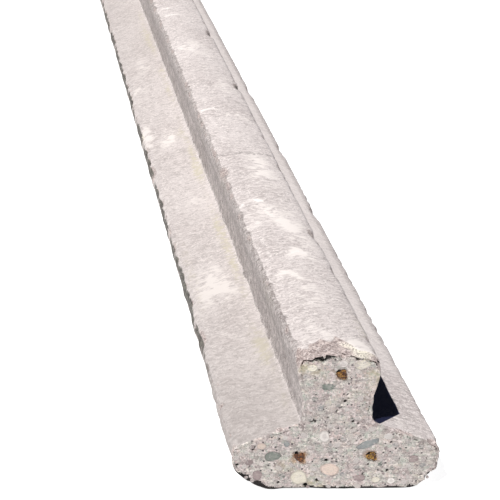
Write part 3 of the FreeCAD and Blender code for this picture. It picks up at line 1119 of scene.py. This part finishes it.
# %% Put the concrete together
torn = c.layered(
    (150, 134, 130),
    (mottle.between(0.4, 0.62), (208, 192, 186)),
    (crumbs.between(0.5, 0.6) * 0.6, (236, 224, 219)),
    (c.mark("lime").between(0.2, 0.8) * 0.9, (240, 234, 216)),
    (grain.between(0.5, 0.6) * 0.75, (104, 90, 88)),
)
on_saw = c.mark("sawn").between(0.3, 0.8)
side_shade = c.mark("painted_side_shade") * (0.45 + 0.9 * mottle.between(0.32, 0.6))
skin_colour = c.layered(
    side,
    (c.mark("chipped").between(0.15, 0.6) * 0.7, torn),
    (on_saw, face),
    (c.mark("broken").between(0.15, 0.6) * 0.85, torn),
    # Painted shade on the flange's left side and in the chips of the head's right arris.
    (side_shade.between(0.15, 0.9) * 0.9, c.mix(mottle.between(0.4, 0.62), (34, 36, 32), (112, 110, 102))),
    # Painted shade: black in the pits, the crack, beside the strands and along the lower rim.
    (c.mark("black_shade").between(0.2, 0.8) * 0.96, (18, 15, 15)),
)
side_relief = (0.2 * streaks + 0.35 * mottle + 0.35 * grain) * (1 - 0.9 * c.mark("calm"))
face_relief = 0.35 * grain + 0.3 * saw_lines + 0.5 * (0.4 - fine_sand).between(0.0, 0.2) - 1.6 * bubble_dents_and_shade
relief = side_relief * (1 - on_saw) + face_relief * on_saw
c.show(skin_colour, 0.82 + 0.16 * mottle, relief, depth=0.5, strength=0.8)
c.shader.inputs["Specular IOR Level"].default_value = 0.25
concrete = c.material
print("concrete nodes:", len(c.tree.nodes))

# %% [markdown]
# ## The rocks
# Each kind of rock has its own two colours, a paler or darker heart, and fine specks. A value kept on
# every stone shifts its shade, so that no two are quite alike. Painted shade darkens each stone's rim,
# where it meets the mortar.

# %% Mix the rocks
rocks = {
    # base, second colour, heart, strength of the heart, speck
    "white_quartz": ((246, 240, 235), (232, 224, 218), (198, 190, 186), 0.6, (190, 182, 176)),
    "cream_limestone": ((242, 235, 218), (226, 218, 198), (240, 234, 222), 0.4, (186, 176, 156)),
    "pink_granite": ((234, 212, 198), (214, 194, 182), (228, 212, 194), 0.4, (170, 142, 132)),
    "green_grey": ((96, 108, 100), (122, 132, 122), (134, 142, 132), 0.5, (70, 78, 72)),
    "blue_slate": ((150, 156, 154), (128, 134, 136), (166, 170, 166), 0.3, (104, 108, 112)),
    "mauve_sandstone": ((166, 148, 146), (146, 128, 128), (176, 162, 156), 0.3, (116, 98, 100)),
}
rock_finishes = {}
for kind, (base, second, heart, heart_share, speck) in rocks.items():
    r = Finish(kind + "_rock")
    bands = r.noise((3.0, 3.0, 1.6), detail=5, distortion=1.2)
    specks = r.noise((0.5, 0.5, 0.5), detail=2, shift=(3, 3, 3))
    # Painted shade along each stone's rim, where it meets the mortar.
    stone_rim_shade = (0.2 - r.mark("heart") - 0.25 * (bands - 0.5)).between(0.0, 0.1)
    smear = r.noise((1.6, 1.6, 0.9), detail=4, shift=(7, 7, 7)) + 0.42 * r.mark("dust") - 0.2
    colour = r.layered(
        base,
        (bands.between(0.36, 0.64), second),
        (r.mark("heart").between(0.3, 0.75) * heart_share, heart),
        (specks.between(0.58, 0.7) * 0.6, speck),
        (r.mark("shade").between(0.0, 1.0) * 0.25, (150, 142, 138)),
        (stone_rim_shade * 0.35, (96, 90, 88)),
        (smear.between(0.34, 0.6) * 0.9,
         r.mix(specks.between(0.4, 0.6), (170, 161, 158), (204, 195, 191))),
    )
    r.show(colour, 0.5 + 0.3 * bands, 0.6 * bands + 0.4 * specks, depth=0.25, strength=0.6)
    rock_finishes[kind] = r.material
print("rocks:", list(rock_finishes))

# %% [markdown]
# ## The rusty wires
# The cut wire ends are brown and orange with a little bare dark steel. Inside the beam the wire is
# the same.

# %% Mix the rusty steel
steel = Finish("rusty_strand_steel")
blotch = steel.noise((1.3, 1.3, 1.3), detail=4, distortion=0.8)
pocks = steel.noise((0.35, 0.35, 0.35), detail=2, shift=(2, 6, 1))
bare = blotch.between(0.6, 0.68) * 0.6
rusty = steel.layered(
    (80, 48, 32),
    (blotch.between(0.45, 0.6), steel.mix(steel.mark("shade"), (158, 96, 56), (200, 156, 66))),
    (pocks.between(0.5, 0.62) * 0.85, (34, 22, 16)),
    (bare, (120, 104, 84)),
)
steel.show(rusty, 0.55 + 0.35 * pocks, 0.6 * blotch + 0.4 * pocks, depth=0.2, strength=0.8)
steel.feed(steel.shader.inputs["Metallic"], bare)
print("steel nodes:", len(steel.tree.nodes))

# %% [markdown]
# ## Put the pieces on the body
# Each piece takes the place of its CAD node, wears its finish and rides on the one body.


def dress(piece, material, node=None):
    """Gives the piece its finish and its place on the body, and hides its CAD node."""
    piece.data.materials.clear()
    piece.data.materials.append(material)
    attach(piece, "root")
    if node:
        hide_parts(node)


dress(beam, concrete, "concrete_body")
for (end, kind), piece in stone_pieces.items():
    node = None if "fine" in end else f"{end}_{kind}_pebbles"
    dress(piece, rock_finishes[kind], node)
for node, piece in wires.items():
    dress(piece, steel.material, node)
print("dressed:", 1 + len(stone_pieces) + len(wires), "pieces")

# %% [markdown]
# ## Floor, light and camera
# The beam lies on a pale light table. A hard key light from the upper left front throws the head's
# shadow onto the right ledge, and the glowing floor and a faint cool sky fill the rest.

# %% Stage the beam
bpy.ops.object.select_all(action="DESELECT")
bpy.ops.mesh.primitive_plane_add(size=60, location=(0, 1, 0))
floor = bpy.context.object
floor.name = "studio_floor"
pale_floor = bpy.data.materials.new("pale_floor")
pale_floor.use_nodes = True
floor_shader = pale_floor.node_tree.nodes["Principled BSDF"]
for name, value in (
    ("Base Color", (0.35, 0.35, 0.35, 1)), ("Roughness", 1.0), ("Specular IOR Level", 0.0),
    ("Emission Color", (1, 1, 1, 1)), ("Emission Strength", 0.9),
):
    floor_shader.inputs[name].default_value = value
floor.data.materials.append(pale_floor)

sunlight = (0.345, 0.30, -0.889)
key_data = bpy.data.lights.new("key", "SUN")
key_data.energy = 3.9
key_data.angle = math.radians(1.2)
key_data.color = (1.0, 0.985, 0.97)
key = bpy.data.objects.new("key", key_data)
key.rotation_euler = Vector(sunlight).to_track_quat("-Z", "Y").to_euler()
bpy.context.scene.collection.objects.link(key)

world = bpy.data.worlds.new("studio")
world.use_nodes = True
sky = world.node_tree.nodes["Background"]
sky.inputs["Color"].default_value = (0.62, 0.72, 1.0, 1)
sky.inputs["Strength"].default_value = 0.07
bpy.context.scene.world = world
bpy.context.scene.view_settings.view_transform = "Standard"

camera_data = bpy.data.cameras.new("camera")
camera_data.lens = 84.46
camera_data.sensor_width = 36
camera_data.clip_start = 0.01
camera = bpy.data.objects.new("camera", camera_data)
camera.location = (-0.1520, near_y - 0.5153, 0.4580)
camera.rotation_euler = (math.radians(60.97), math.radians(0.03), math.radians(-11.15))
bpy.context.scene.collection.objects.link(camera)
bpy.context.scene.camera = camera
print("camera at", tuple(round(v, 3) for v in camera.location))

# %% [markdown]
